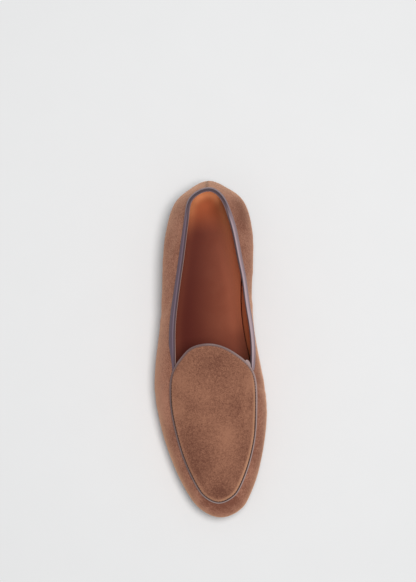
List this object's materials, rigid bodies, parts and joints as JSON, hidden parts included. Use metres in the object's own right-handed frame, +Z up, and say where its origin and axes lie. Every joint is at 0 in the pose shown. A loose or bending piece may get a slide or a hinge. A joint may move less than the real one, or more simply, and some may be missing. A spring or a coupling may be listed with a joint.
{
  "type": "suede loafer",
  "caption": "Low suede slip-on loafer with a piped oval apron over the vamp, a leather-bound collar, a thin leather sole with toe spring and a low stacked heel; right shoe.",
  "frame": {"origin": "centre of the overall box on the floor that the sole stands on", "axes": "+Z up; +Y from toe to heel; +X to the medial side, the inner side of the right foot"},
  "size_m": [0.099, 0.296, 0.0756],
  "materials": {
    "brown_suede": "napped suede",
    "apron_suede": "napped suede",
    "grey_leather": "smooth, satin",
    "tan_leather": "smooth, satin",
    "sole_leather": "polished edge, buffed tread",
    "stacked_leather": "dyed and polished"
  },
  "bodies": {
    "root": {"upper": "brown_suede", "apron": "apron_suede", "apron_piping": "grey_leather", "collar_binding": "grey_leather", "insole": "tan_leather", "outsole": "sole_leather", "heel": "stacked_leather"}
  },
  "joints": []
}
